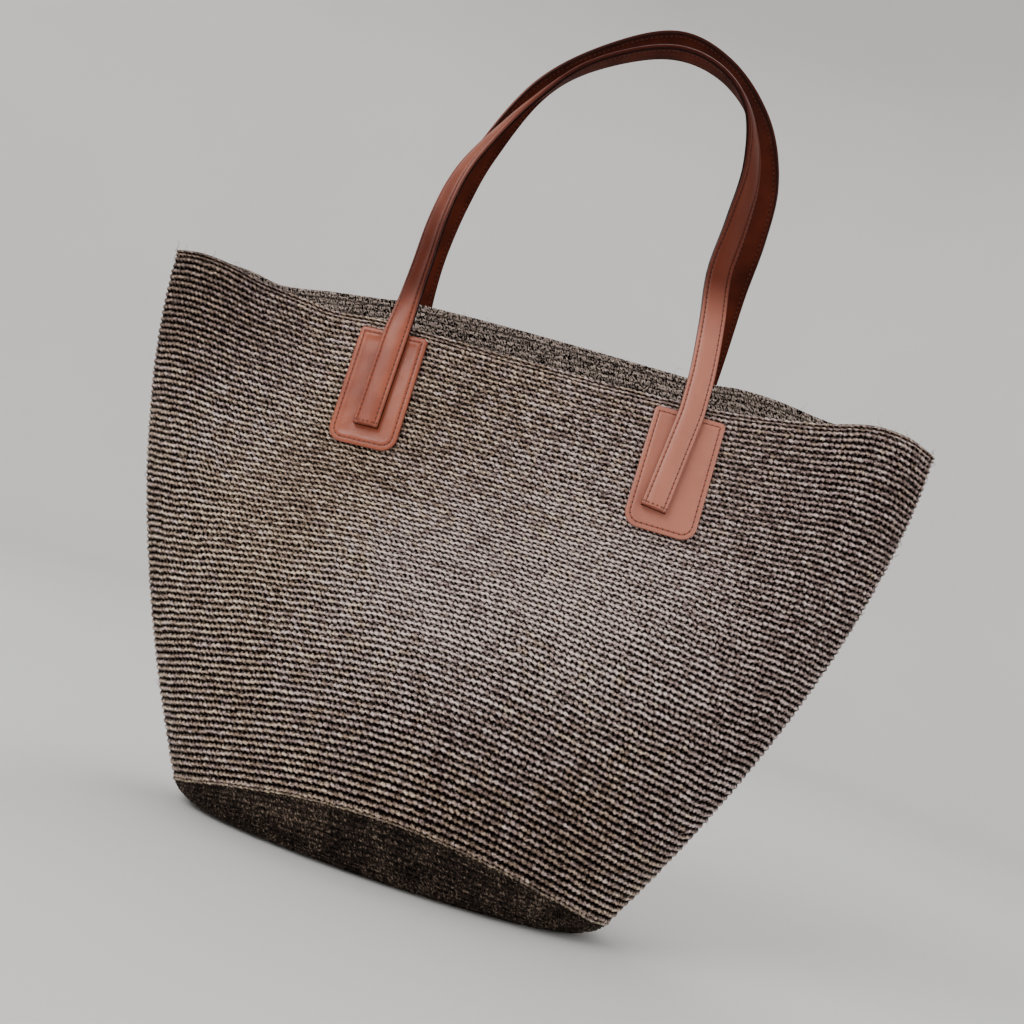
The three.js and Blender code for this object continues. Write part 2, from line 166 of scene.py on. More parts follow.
def wave_at(table, at):
    """The height of a smooth curve through a table's entries."""
    x, y = table.T
    slope = np.concatenate([[(y[1] - y[0]) / (x[1] - x[0])], (y[2:] - y[:-2]) / (x[2:] - x[:-2]),
                            [(y[-1] - y[-2]) / (x[-1] - x[-2])]])
    i = np.clip(np.searchsorted(x, at) - 1, 0, len(x) - 2)
    run = x[i + 1] - x[i]
    s = (at - x[i]) / run
    sway = run * s * (1 - s) * (slope[i] * (1 - s) - slope[i + 1] * s)
    return lerp(y[i], y[i + 1], s * s * (3 - 2 * s)) + sway


def edge_wave(a):
    return np.where(np.sin(a) < 0, wave_at(FRONT_WAVE, np.cos(a)), wave_at(BACK_WAVE, np.cos(a)))


def edge_height(a):
    s = np.sin(a)
    sweep = np.where(s < 0, -FRONT_SAG, BACK_RISE) * np.abs(s) ** EDGE_SWEEP
    return CORNER_HEIGHT + sweep + edge_wave(a)


def turn_height(a):
    s = np.sin(a)
    return END_LIFT + np.where(s < 0, FRONT_ARCH, BACK_ARCH) * s * s


def wall_point(a, t, inset=0.0):
    """The wall's point at an angle a, where t is 0 at its turn and 1 at the mouth."""
    return stacked((half_length(t) - inset) * np.cos(a), (half_depth(t) - inset) * np.sin(a),
                   lerp(turn_height(a), edge_height(a), t))


def base_point(a, r, inset=0.0):
    """The base's point at an angle a, where r is 0 at the turn into the base and 1 where the base is flat."""
    q = r * np.pi / 2
    inwards = TURN_IN * lerp(1 - np.cos(q), np.sin(q), TURN_LEAN)
    return stacked((BASE_HALF - inwards - inset) * np.cos(a), (BASE_DEPTH_HALF - inwards - inset) * np.sin(a),
                   turn_height(a) * (1 - np.sin(q)) + inset * np.sin(q))


FIRST_SHARE, SHARE_ROUNDS = 0.8, 24
NEARBY = 4.0  # mm to either side, for the way that the wall faces


def wall_at(x, z, side, inset=0.0):
    """The wall's point at a width and a height on one side. Its share t is found in rounds."""
    x, z = np.broadcast_arrays(np.asarray(x, float), np.asarray(z, float))
    t = np.full(x.shape, FIRST_SHARE)
    for _ in range(SHARE_ROUNDS):
        a = side * np.arccos(np.clip(x / (half_length(t) - inset), -1, 1))
        t = (z - turn_height(a)) / (edge_height(a) - turn_height(a))
    return wall_point(a, t, inset)


def wall_facing(x, z, side):
    across = wall_at(x + NEARBY, z, side) - wall_at(x - NEARBY, z, side)
    up = wall_at(x, z + NEARBY, side) - wall_at(x, z - NEARBY, side)
    return unit(np.cross(across, up) * -side)


# Meshes
def mesh_object(name, points, faces, maps=None, shade_and_edge_paint=None):
    """A smooth mesh: points in mm, faces, maps with a (u, v) for each corner, and each point's painted shade
    and edge paint.
    """
    mesh = bpy.data.meshes.new(name)
    mesh.from_pydata((np.asarray(points) * MM).tolist(), [], [list(map(int, f)) for f in faces])
    for key, uv in (maps or {}).items():
        layer = mesh.uv_layers.new(name=key)
        layer.data.foreach_set("uv", np.asarray(uv, np.float32).ravel())
    if shade_and_edge_paint is not None:
        values = mesh.attributes.new("shade_and_edge_paint", "FLOAT", "POINT")
        values.data.foreach_set("value", np.asarray(shade_and_edge_paint, np.float32).ravel())
    mesh.shade_smooth()
    mesh.update()
    obj = bpy.data.objects.new(name, mesh)
    bpy.context.collection.objects.link(obj)
    return obj


class Build:
    """Gathers grids of points into one mesh, with their maps and their painted shade and edge paint."""

    def __init__(self):
        self.points, self.faces, self.shade_and_edge_paint = [], [], []
        self.maps = {}
        self.count = 0

    def grid(self, points, maps, shade_and_edge_paint, ring=False):
        """Adds a tube of (u, v, 3) points, closed round v, with caps unless it is a ring."""
        nu, nv = points.shape[:2]
        i = np.arange(nu if ring else nu - 1)[:, None]
        j = np.arange(nv)[None, :]
        i2, j2 = (i + 1) % nu, (j + 1) % nv
        quads = stacked(i * nv + j, i2 * nv + j, i2 * nv + j2, i * nv + j2)
        self.faces.extend((quads.reshape(-1, 4) + self.count).tolist())
        for key, uv in maps.items():
            corners = np.stack([uv[i, j], uv[i + 1, j], uv[i + 1, j + 1], uv[i, j + 1]], 2)
            self.maps.setdefault(key, []).append(corners.reshape(-1, 2))
        shade_and_edge_paint = np.broadcast_to(shade_and_edge_paint, (nu, nv)).reshape(-1)
        self.points.append(points.reshape(-1, 3))
        self.shade_and_edge_paint.append(shade_and_edge_paint)
        tip = self.count + nu * nv
        if not ring:
            self.cap(points, maps, 0, tip)
            self.cap(points, maps, nu - 1, tip + 1)
            self.shade_and_edge_paint.append(np.full(2, float(np.mean(shade_and_edge_paint))))
        self.count = tip if ring else tip + 2

    def cap(self, points, maps, end, tip):
        """Closes one end of a tube with triangles round a point in its middle."""
        nv = points.shape[1]
        self.points.append(points[end].mean(0)[None])
        for k in range(nv):
            a, b = self.count + end * nv + k, self.count + end * nv + (k + 1) % nv
            self.faces.append([tip, b, a] if end else [tip, a, b])
            for key, uv in maps.items():
                c, d = uv[end, k], uv[end, k + 1]
                self.maps[key].append(np.stack([(c + d) / 2, d, c] if end else [(c + d) / 2, c, d]))

    def piece(self, name, look, nodes=(), blend=None):
        """Makes the piece, which moves with the bag unless a blend is given, when its transform is only baked
        in, and stands for some CAD nodes.
        """
        material, slot = look
        maps = {key: np.concatenate(uv) for key, uv in self.maps.items()}
        obj = mesh_object(name, np.concatenate(self.points), self.faces, maps, np.concatenate(self.shade_and_edge_paint))
        obj.data.materials.append(material)
        if blend:
            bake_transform(obj)
        else:
            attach(obj, "bag")
        if nodes:
            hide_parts(*nodes)


# Materials
COLOUR_A, COLOUR_B, COLOUR_OUT = 6, 7, 2  # the sockets of a Mix node that are for colours


class Finish:
    """A material with short calls for its nodes."""

    def __init__(self, name, roughness, specular):
        self.material = bpy.data.materials.new(name)
        self.material.use_nodes = True
        self.tree = self.material.node_tree
        self.shader = self.tree.nodes["Principled BSDF"]
        self.shader.inputs["Roughness"].default_value = roughness
        self.shader.inputs["Specular IOR Level"].default_value = specular

    def node(self, kind, inputs, **settings):
        made = self.tree.nodes.new(kind)
        for key, value in settings.items():
            setattr(made, key, value)
        for key, value in inputs.items():
            self.join(made.inputs[key], value)
        return made

    def join(self, socket, value):
        if isinstance(value, bpy.types.NodeSocket):
            self.tree.links.new(value, socket)
        else:
            socket.default_value = value

    def math(self, operation, a, b=0.0, c=0.0):
        return self.node("ShaderNodeMath", {0: a, 1: b, 2: c}, operation=operation).outputs[0]

    def add(self, a, b):
        return self.math("ADD", a, b)

    def times(self, a, b):
        return self.math("MULTIPLY", a, b)

    def times_add(self, a, b, c):
        return self.math("MULTIPLY_ADD", a, b, c)

    def spread(self, share, width, middle=0.0):
        """A value from 0 to 1, spread over a width round a middle."""
        return self.times_add(share, width, middle - width / 2)

    def step(self, low, high, x):
        return self.node("ShaderNodeMapRange", {"Value": x, "From Min": low, "From Max": high},
                         interpolation_type="SMOOTHSTEP").outputs[0]

    def vector(self, x, y, z=0.0):
        return self.node("ShaderNodeCombineXYZ", {0: x, 1: y, 2: z}).outputs[0]

    def parts(self, vector):
        outputs = self.node("ShaderNodeSeparateXYZ", {0: vector}).outputs
        return outputs["X"], outputs["Y"], outputs["Z"]

    def noise(self, place, scale, detail=2.0, roughness=0.5):
        inputs = {"Vector": place, "Scale": scale, "Detail": detail, "Roughness": roughness}
        return self.node("ShaderNodeTexNoise", inputs).outputs["Fac"]

    def white(self, x, y):
        return self.node("ShaderNodeTexWhiteNoise", {"Vector": self.vector(x, y)}).outputs["Value"]

    def mix(self, factor, a, b, blend="MIX"):
        made = self.node("ShaderNodeMix", {0: factor}, data_type="RGBA", blend_type=blend)
        self.join(made.inputs[COLOUR_A], a)
        self.join(made.inputs[COLOUR_B], b)
        return made.outputs[COLOUR_OUT]

    def ramp(self, factor, *stops):
        made = self.node("ShaderNodeValToRGB", {"Fac": factor})
        elements = made.color_ramp.elements
        while len(elements) < len(stops):
            elements.new(0.5)
        for element, (place, colour) in zip(elements, stops):
            element.position, element.color = place, colour
        return made.outputs["Color"]

    def map(self, name):
        return self.parts(self.node("ShaderNodeUVMap", {}, uv_map=name).outputs["UV"])[:2]

    # Each point's painted shade and edge paint: low where it is painted dark
    def shade_and_edge_paint(self):
        return self.node("ShaderNodeAttribute", {}, attribute_name="shade_and_edge_paint").outputs["Fac"]

    def place(self):
        return self.node("ShaderNodeTexCoord", {}).outputs["Object"]

    def holes(self, name, pitch):
        """Stitch holes where a map's u is whole and its v, in mm from the seam, is 0."""
        u, v = self.map(name)
        along = self.times(self.math("PINGPONG", u, 0.5), pitch / HOLE_RADIUS)
        away = self.math("DIVIDE", v, HOLE_RADIUS)
        return self.step(1.0, 0.45, self.times_add(along, along, self.times(away, away)))

    def colour(self, value):
        self.join(self.shader.inputs["Base Color"], value)

    def specular(self, value):
        self.join(self.shader.inputs["Specular IOR Level"], value)

    def bump(self, height, distance, strength=1.0):
        made = self.node("ShaderNodeBump", {"Height": height, "Distance": distance, "Strength": strength})
        self.join(self.shader.inputs["Normal"], made.outputs["Normal"])


def rgb(red, green, blue):
    """A colour as a screen shows it, 0 to 255, made linear for the shader."""
    def linear(c):
        c /= 255
        return c / 12.92 if c <= 0.04045 else ((c + 0.055) / 1.055) ** 2.4
    return (linear(red), linear(green), linear(blue), 1.0)


# Raffia's patterns: runs along a row in stitches, rows apart in the noise, and zones and grains to a metre
LONG_RUN, SHORT_RUN, STRAW_RUN, ROWS_APART = 9.0, 1.6, 2.4, 5.37
ZONES, STRAW_ZONES, GRAINS = 5.0, 7.0, 560.0
# How much of the tone comes from each of them
LONG_TONE, SHORT_TONE, STITCH_TONE, ZONE_TONE, ROUGH_TONE = .35, .3, .22, .4, 1.6
# Painted light and shade: the weave is painted brighter or darker round these places, where light falls more
# or less on it: the place and reach in m, and how much brighter
PAINTED_LIGHT_PLACES = [((.03, -.07, .20), .17, .22), ((-.14, -.06, .10), .16, .08), ((-.24, -.03, .38), .17, -.18),
               ((.07, -.06, .07), .13, -.12)]
PAINTED_LIGHT_CORE = .03  # m within which it is fully so
# Strands fade to straw, more so to the left and low down: from where to where, in m, and how much more
STRAW = (1.0, .97, .68, 1.0)
STRAW_LEFT, MORE_LEFT = (.12, -.12), .16
STRAW_LOW, MORE_LOW = (.16, .05), .08
FIBRE_BUMP = (.0009, .8)  # its height in m and its strength

# A row's v runs round its section, and the bag's inside lies between these two. There it has ranks of
# grains, so many to a row and to a stitch, which slant, sway and shift by so many grains.
INSIDE_FROM, INSIDE_TO, INSIDE_FADE = .38, .62, .05
RANKS, RANK_GRAINS, RANK_SLANT, RANK_SWAY, RANK_SHIFT = 2, 2.1, 1.2, 2.2, 2.2
# Slanting grains to a metre: their lean, and how many there are across and up
INSIDE_GRAINS, UNDER_GRAINS = (400.0, 860.0, 680.0), (420.0, 760.0, 620.0)


def along_row(f, u, row, length, layer=0.0, roughness=0.6):
    """Noise that changes along a row, over a length in stitches."""
    place = f.vector(f.math("DIVIDE", u, length), f.times(row, ROWS_APART), layer)
    return f.noise(place, 1.0, 2.0, roughness)


def raffia_tone(f, u, row, place, rough):
    """Runs of tone along each row, single stitches, places of painted light and shade, and grain."""
    short_tone = f.times(along_row(f, u, row, SHORT_RUN, 7.0), SHORT_TONE)
    tone = f.times_add(along_row(f, u, row, LONG_RUN), LONG_TONE, short_tone)
    tone = f.add(tone, f.spread(f.white(f.math("FLOOR", u), row), STITCH_TONE))
    tone = f.add(tone, f.spread(f.noise(place, ZONES, 1.0), ZONE_TONE, 0.18))
    # Painted light and shade round some places
    for middle, reach, brighter in PAINTED_LIGHT_PLACES:
        away = f.node("ShaderNodeVectorMath", {0: place, 1: middle}, operation="DISTANCE")
        tone = f.times_add(f.step(reach, PAINTED_LIGHT_CORE, away.outputs["Value"]), brighter, tone)
    return f.add(tone, f.spread(rough, ROUGH_TONE))


def straw_share(f, u, row, place):
    """How far the strands have turned to straw, from 0 to 1."""
    x, _, z = f.parts(place)
    zone = f.spread(f.noise(place, STRAW_ZONES, 1.0), 0.6, -0.05)
    share = f.add(along_row(f, u, row, STRAW_RUN, 3.0, 0.65), zone)
    share = f.times_add(f.step(*STRAW_LEFT, x), MORE_LEFT, share)
    share = f.times_add(f.step(*STRAW_LOW, z), MORE_LOW, share)
    return f.step(0.48, 0.68, share)


def raffia(name, dark, middle, light, straw_most, pit_shade, inner=None):
    """Twisted raffia: tones, strands turned to straw, dark pits and grooves of painted shade, fine fibres
    and, on request, the bag's inside.
    """
    f = Finish(name, 0.5, 0.3)
    u, v = f.map("weave")
    place = f.place()
    row = f.math("FLOOR", v)
    fibre = f.noise(f.vector(f.times(u, 3.6), f.times(v, 11.0)), 1.0, 1.0, 0.6)
    rough = f.add(f.times(fibre, 0.5), f.times(f.noise(place, GRAINS, 1.0, 0.6), 0.5))
    colour = f.ramp(raffia_tone(f, u, row, place, rough), (0.22, dark), (0.5, middle), (0.78, light))
    straw = f.times(straw_share(f, u, row, place), straw_most)
    colour = f.mix(straw, colour, f.mix(0.75, colour, STRAW, "MULTIPLY"))
    # Painted shade: the grooves and pits are painted in the pit colour, and the flanks darker than the crowns
    lit = f.step(0.12, 0.88, f.add(f.shade_and_edge_paint(), f.spread(rough, 0.8)))
    colour = f.mix(lit, pit_shade, colour)
    shine = f.times(lit, 0.5)
    if inner:
        inside = inside_share(f, v)
        colour = f.mix(inside, colour, inside_colour(f, u, v, place, inner, pit_shade))
        shine = f.times(shine, f.math("SUBTRACT", 1.0, inside))
    f.specular(shine)
    f.colour(colour)
    f.bump(rough, *FIBRE_BUMP)
    return f.material


def inside_share(f, v):
    within = f.math("FRACT", v)
    return f.times(f.step(INSIDE_FROM - INSIDE_FADE, INSIDE_FROM, within),
                   f.step(INSIDE_TO + INSIDE_FADE, INSIDE_TO, within))


def slanting_noise(f, place, grains, detail):
    """Noise in grains that lean to the left as they rise."""
    lean, across, up = grains
    x, y, z = f.parts(place)
    slanting = f.vector(f.times_add(z, lean, f.times(x, across)), f.times(y, across), f.times(z, up))
    return f.noise(slanting, 1.0, detail, 0.6)


def inside_colour(f, u, v, place, inner, pit_shade):
    """The back of the stitches: ranks of slanting grains, broken up light and dark, with painted shade in the
    gaps between grains and between ranks.
    """
    broken = f.step(0.41, 0.60, slanting_noise(f, place, INSIDE_GRAINS, 1.0))
    share = f.math("DIVIDE", f.math("SUBTRACT", f.math("FRACT", v), INSIDE_FROM), INSIDE_TO - INSIDE_FROM)
    level = f.times(f.add(f.math("FLOOR", v), share), RANKS)
    sway = f.noise(f.vector(f.times(u, 0.6), f.times(v, 2.0)), 1.0)
    level = f.times_add(sway, RANK_SWAY, level)
    rank = f.math("FLOOR", level)
    side = f.times_add(f.math("PINGPONG", rank, 1.0), 2.0, -1.0)
    slant = f.times(f.math("FRACT", level), f.times(side, RANK_SLANT))
    along = f.add(f.times(u, RANK_GRAINS), f.times_add(f.white(rank, 3.0), 5.0, slant))
    shift = f.noise(f.vector(f.times(u, 1.7), f.times(rank, 3.1)), 1.0)
    along = f.times_add(shift, RANK_SHIFT, along)
    grain = f.white(f.math("FLOOR", along), rank)
    # Painted shade in the gaps between grains and along the seams between ranks
    gap = f.step(0.08, 0.30, f.math("PINGPONG", along, 0.5))
    seam = f.step(0.0, 0.3, f.math("PINGPONG", level, 0.5))
    lit = f.times(gap, f.times_add(seam, 0.35, 0.65))
    lit = f.times(broken, f.times_add(f.times(lit, grain), 0.6, 0.5))
    return f.mix(lit, pit_shade, inner)


def dark_raffia(name, pit_shade, dark, light):
    """The base's cloth, painted dark for its darker weave and with painted shade for its own shadow: fine
    short streaks, and only a trace of its rows' painted shade.
    """
    f = Finish(name, 0.8, 0.08)
    streak = slanting_noise(f, f.place(), UNDER_GRAINS, 2.0)
    cloud = f.spread(f.noise(f.place(), 60.0, 2.0), 0.3, -0.04)
    tone = f.add(streak, f.times_add(f.shade_and_edge_paint(), 0.08, cloud))
    colour = f.mix(f.step(0.36, 0.56, tone), pit_shade, dark)
    f.colour(f.mix(f.step(0.55, 0.72, tone), colour, light))
    f.bump(streak, *FIBRE_BUMP)
    return f.material


# Painted shade on a strap: where a strap and its left leg are darkened, to stand for shade on the handle's
# upper part and a shadow on the leg, as shares of its length, and how little of it the leg keeps
SHADE_FROM, SHADE_TO = (.28, .42), (.84, .77)
LEG_FROM, LEG_EASES, LEG_TO, LEG_EASED = (.095, .15), (.18, .27), (.42, .34), .28
# What the painted shade leaves of the colour and of the shine
SHADE_TINT, SHADE_SHINE = (.24, .145, .11, 1.0), .28


def painted_strap_shade(f):
    """How far a strap is darkened by painted shade. u runs from 0 to 1 along it."""
    u, _ = f.map("strap")
    shaded = f.times(f.step(*SHADE_FROM, u), f.step(*SHADE_TO, u))
    leg = f.times(f.step(*LEG_FROM, u), f.times_add(f.step(*LEG_EASES, u), LEG_EASED - 1, 1.0))
    return f.math("MAXIMUM", shaded, f.times(leg, f.step(*LEG_TO, u)))


CLOUDS, PORES, CREASES = 38.0, 1500.0, 900.0  # to a metre of leather
# Painted sheen: over this span the leather is painted lighter and pinker, for a sheen of light
SHEEN_FROM, SHEEN_TO = -.02, .12  # m across the bag


def leather(name, base, deep, rough, edge_dark, specular, hole=None, painted_sheen=None, strap=False):
    """Smooth grained leather with painted edges, painted shade in its seam grooves and the stitch holes that
    its seam maps place; on request a painted sheen towards the right, and a strap's painted shade.
    """
    f = Finish(name, rough, specular)
    place = f.place()
    clouds = f.noise(place, CLOUDS, 3.0, 0.6)
    pores = f.noise(place, PORES, 2.0, 0.7)
    creases = f.node("ShaderNodeTexVoronoi", {"Vector": place, "Scale": CREASES}).outputs["Distance"]
    colour = f.mix(f.step(0.3, 0.75, clouds), base, deep)
    colour = f.mix(f.times(f.step(0.55, 0.8, pores), 0.25), colour, deep)
    # Painted sheen: the leather turns lighter and pinker towards the right, for a sheen of light
    if painted_sheen:
        x, _, _ = f.parts(place)
        colour = f.mix(f.times(f.step(SHEEN_FROM, SHEEN_TO, x), 0.5), colour, painted_sheen)
    holes = f.math("MAXIMUM", f.holes("seam", STITCH_PITCH), f.holes("foot", SEAM_AT / 2))
    # Painted edges, and painted shade in the seam grooves
    colour = f.mix(f.step(0.0, 1.0, f.shade_and_edge_paint()), edge_dark, colour)
    colour = f.mix(holes, colour, hole or edge_dark)
    # Painted shade on the strap's upper part and a painted shadow on its left leg, with less shine there
    if strap:
        shaded = painted_strap_shade(f)
        colour = f.mix(shaded, colour, SHADE_TINT, "MULTIPLY")
        f.specular(f.times_add(shaded, (SHADE_SHINE - 1) * specular, specular))
    f.colour(colour)
    f.bump(f.times_add(holes, -4.0, f.times_add(pores, 0.6, creases)), 0.0002, 0.35)
    f.join(f.shader.inputs["Roughness"], f.spread(clouds, 0.2, rough))
    return f.material


TWIST = 40.0  # of a thread, in radians to a stitch


def thread_finish(name, colour, dark, strap=False):
    f = Finish(name, 0.6, 0.2)
    u, _ = f.map("weave")
    twist = f.math("SINE", f.times(u, TWIST))
    colour = f.mix(f.times_add(twist, 0.3, 0.4), colour, dark)
    # The strap's painted shade on its threads too
    f.colour(f.mix(painted_strap_shade(f), colour, SHADE_TINT, "MULTIPLY") if strap else colour)
    f.bump(twist, 0.0001, 0.5)
    return f.material


# Each look is a material and the name of its slot.
RAFFIA = raffia("raffia", rgb(88, 69, 65), rgb(168, 142, 135), rgb(254, 230, 223), 0.85, rgb(15, 10, 8),
                rgb(214, 194, 182)), "raffia"
# The base's tones are dark, partly for its darker weave and partly painted shade for its own shadow
UNDERSIDE = dark_raffia("dark_raffia", rgb(11, 9, 7), rgb(50, 40, 34), rgb(128, 112, 98)), "dark_raffia"
CREASE = raffia("crease_raffia", rgb(80, 66, 60), rgb(144, 124, 114), rgb(216, 198, 184), 0.9,
                rgb(15, 11, 9)), "raffia"
# Tan leather's tones; the lighter, pinker one is a painted sheen of light towards the right
TAN_TONES = {"base": rgb(166, 88, 62), "deep": rgb(138, 66, 45), "rough": 0.34, "edge_dark": rgb(128, 62, 44),
             "specular": 0.4, "hole": rgb(60, 27, 20), "painted_sheen": rgb(200, 134, 116)}
TAN = leather("tan_leather", **TAN_TONES), "tan_leather"
# The straps' leather, with painted shade on their upper parts and left legs
STRAP_TAN = leather("strap_leather", **TAN_TONES, strap=True), "tan_leather"
BROWN = leather("lining_leather", rgb(80, 30, 16), rgb(56, 20, 10), 0.7, rgb(30, 13, 10),
                0.06), "lining_leather"
THREAD = thread_finish("tan_thread", rgb(164, 88, 66), rgb(120, 58, 43)), "tan_leather"
# Strap threads get the same painted shade
STRAP_THREAD = thread_finish("strap_thread", rgb(164, 88, 66), rgb(120, 58, 43), True), "tan_leather"
DARK_THREAD = thread_finish("dark_thread", rgb(92, 50, 38), rgb(60, 31, 24)), "lining_leather"


# Woven rows. A row is a closed knobbly cord. Going round its section from the crown over the top
# to the inside of the bag and back under it, each corner has a height in half pitches, and a lean:
# how far the strand there has moved on along the row, in stitches.
SECTION_UP = np.array([.05, .48, 1.04, .98, 0, -.98, -1.04, -.46])
SECTION_LEAN = np.array([0, -.10, -.2, -.5, -.6, -.2, .3, .18])
# How far each corner follows the fullness and the rise of its own stitch
LOOSE = np.array([1, 1, 0, .15, .4, .15, 0, 1])
# Across one stitch, how far each corner reaches out of the cloth, and how light it is painted: painted shade
# darkens the grooves and the flanks, and the crowns are painted lit.
STITCH_REACH = np.array([
    [.86, .62, .16, -.90, -.86, -.90, .16, .40],
    [.95, .70, .18, -.96, -.90, -.96, .18, .60],
    [1.0, .76, .20, -1.0, -.92, -1.0, .20, .74],
    [1.0, .74, .20, -.98, -.92, -.98, .20, .72],
    [.93, .68, .18, -.94, -.88, -.94, .18, .54]])
STITCH_SHADE = np.array([
    [.62, .18, .00, .8, .8, .8, .00, .10],
    [.94, .40, .00, .9, .9, .9, .00, .32],
    [1.0, .48, .00, 1.0, 1.0, 1.0, .00, .48],
    [1.0, .46, .00, 1.0, 1.0, 1.0, .00, .46],
    [.82, .30, .00, .85, .85, .85, .00, .20]])
# Where the rows lie tight, at these pitches in mm, their stitches touch, so the grooves break up into pits:
# there the painted shade in the grooves is lifted between the pits.
TOUCHING = np.array([0, .26, .60, .54, .12])
TIGHT_PITCH, LOOSE_PITCH = 3.35, 4.85
GROOVES = [2, 6]  # the corners that lie in the grooves
FULL_TURN = np.linspace(-np.pi, np.pi, 1441)
SMALL_TURN = .004
COLUMN_LEAN = .12  # stitches that each row moves on over the one below
# How uneven the work is, usually and at most: a stitch's end, its fullness and its rise, and a row's start
END_VARIES, END_MOST = .08, .17
FULL_VARIES, FULL_ENDS = .1, (.78, 1.05)
RISE_VARIES, RISE_MOST = .11, .2
START_VARIES = .05
STRIP_FROM, STRIP_HIGH, BAKE_WIDE = .02, .96, .998  # what a row takes up of its strip of a map


def row_cord(build, surface, rho, row, strip, reach=2.05, back=1.95, span=1.0, stitch=STITCH, knobs=1.0):
    """One row round the bag on surface(angle, rho), the cloth's middle.

    strip is its place in its piece's bake, of how many. It stands out of the cloth by its reach in mm and
    into the bag by its back, is span rows high, and knobs is how knobbly it is."""
    run = run_along(surface(FULL_TURN, rho))
    stitches = max(int(round(run[-1] / stitch)), 6)
    step = run[-1] / stitches
    which = np.repeat(np.arange(stitches), STITCH_STEPS)
    column = np.tile(np.arange(STITCH_STEPS), stitches)
    starts = np.arange(stitches) + np.clip(chance.normal(0, END_VARIES, stitches), -END_MOST, END_MOST)
    ends = np.append(starts[1:], starts[0] + stitches)
    place = lerp(starts[which], ends[which], column / STITCH_STEPS)[:, None] + SECTION_LEAN
    # The stitches stand over one another in the middle of the front.
    start = row * COLUMN_LEAN + chance.normal(0, START_VARIES)
    first = np.interp(-np.pi / 2, FULL_TURN, run) + start * step
    a = np.interp((place * step + first) % run[-1], run, FULL_TURN)
    up = surface(a, rho + .5 * span) - surface(a, rho - .5 * span)
    pitch = np.linalg.norm(up, axis=-1, keepdims=True)
    up = up / pitch
    along = unit(surface(a + SMALL_TURN, rho) - surface(a - SMALL_TURN, rho))
    out = unit(np.cross(along, up))
    full = np.clip(1 + chance.normal(0, FULL_VARIES, stitches), *FULL_ENDS)[which, None]
    rise = np.clip(chance.normal(0, RISE_VARIES, stitches), -RISE_MOST, RISE_MOST)[which, None] * LOOSE
    knob = lerp(STITCH_REACH[2], STITCH_REACH[column], knobs)
    away = knob * np.where(knob > 0, reach, back) * lerp(1, full, LOOSE)
    height = (SECTION_UP + rise) / 2
    points = surface(a, rho) + out * away[..., None] + up * (height[..., None] * pitch)
    u = np.arange(stitches * STITCH_STEPS + 1)[:, None] / STITCH_STEPS
    v = np.arange(len(SECTION_UP) + 1)[None, :] / len(SECTION_UP) * STRIP_HIGH + STRIP_FROM
    baked = stacked(u / stitches * BAKE_WIDE, (strip[0] + v) / strip[1])
    # Each corner's painted shade, lifted in the grooves where the rows touch
    shade = STITCH_SHADE[column]
    tight = 1 - smooth(TIGHT_PITCH, LOOSE_PITCH, pitch[..., 0] / span)
    shade[:, GROOVES] += tight[:, GROOVES] * TOUCHING[column][:, None]
    build.grid(points, {"weave": stacked(u, row + v), "OFBake": baked}, shade, ring=True)


# How densely the rows lie up the wall: evenly at its ends, but in the middle of the front and the back
# loose low down and crowded at one height
SHARES = np.linspace(0, 1, 401)
CROWDED_AT = .62
CROWD = np.minimum(.8 + .5 * SHARES, 1.0) + .27 * hump(SHARES, CROWDED_AT, .12)
CROWDED = np.concatenate([[0], np.cumsum((CROWD[1:] + CROWD[:-1]) / 2)])
CROWDED /= CROWDED[-1]
CROWD_STEPS = 9
CROWD_TABLE = [np.interp(SHARES, lerp(SHARES, CROWDED, w), SHARES) for w in np.linspace(0, 1, CROWD_STEPS)]
ROW_ARCH, ROW_TILT = 3.0, 5.0  # mm that the rows rise halfway up, in the middle and to the right
# The rows' slow waves: height in mm, turns round the bag, radians up the wall, and start
ROW_WAVES = [(.5, 3, 6, 1), (.4, 7, -9, 2), (.3, 13, 14, 0), (.22, 29, -21, 4), (.15, 61, 37, 0)]


def row_share(a, rho):
    """How far up the wall row rho lies, from 0 to 1."""
    level = np.clip(rho / ROWS, 0, 1)
    weight = (1 - smooth(0, 1, np.abs(np.cos(a)))) * (CROWD_STEPS - 1)
    low = np.clip(np.floor(weight).astype(int), 0, CROWD_STEPS - 2)
    shares = np.array([np.interp(level, SHARES, line) for line in CROWD_TABLE])
    return lerp(shares[low], shares[low + 1], weight - low)


def wall_surface(a, rho):
    """The middle of the wall's cloth at an angle and a row, with the rows' slow waves."""
    share = row_share(a, rho)
    height = edge_height(a) - turn_height(a)
    wave = sum(high * np.sin(turns * a + up * share + start) for high, turns, up, start in ROW_WAVES)
    rise = (wave + ROW_ARCH * np.sin(a) ** 2 + ROW_TILT * np.cos(a)) * np.sin(np.pi * share)
    rise = rise - edge_wave(a) * (share - share ** 3)  # the mouth's own waves soon fade below it
    t = share * (1 - EDGE_BAND / height) + rise / height
    return wall_point(a, t, CLOTH / 2)


def base_surface(a, rho):
    """The middle of the base's cloth, from the turn inwards. Rows count down, so that up is outwards."""
    inwards = -rho
    if inwards <= FLANK_ROWS:
        return base_point(a, max(inwards, -.5) / FLANK_ROWS, CLOTH / 2)
    d = (inwards - FLANK_ROWS) * FLAT_PITCH
    long, deep = BASE_HALF - TURN_IN - CLOTH / 2, BASE_DEPTH_HALF - TURN_IN - CLOTH / 2
    return stacked((long - d) * np.cos(a), max(deep - d, .01) * np.sin(a), CLOTH / 2)


CREASE_PITCH = 4.0  # mm
EDGE_ROWS = 2


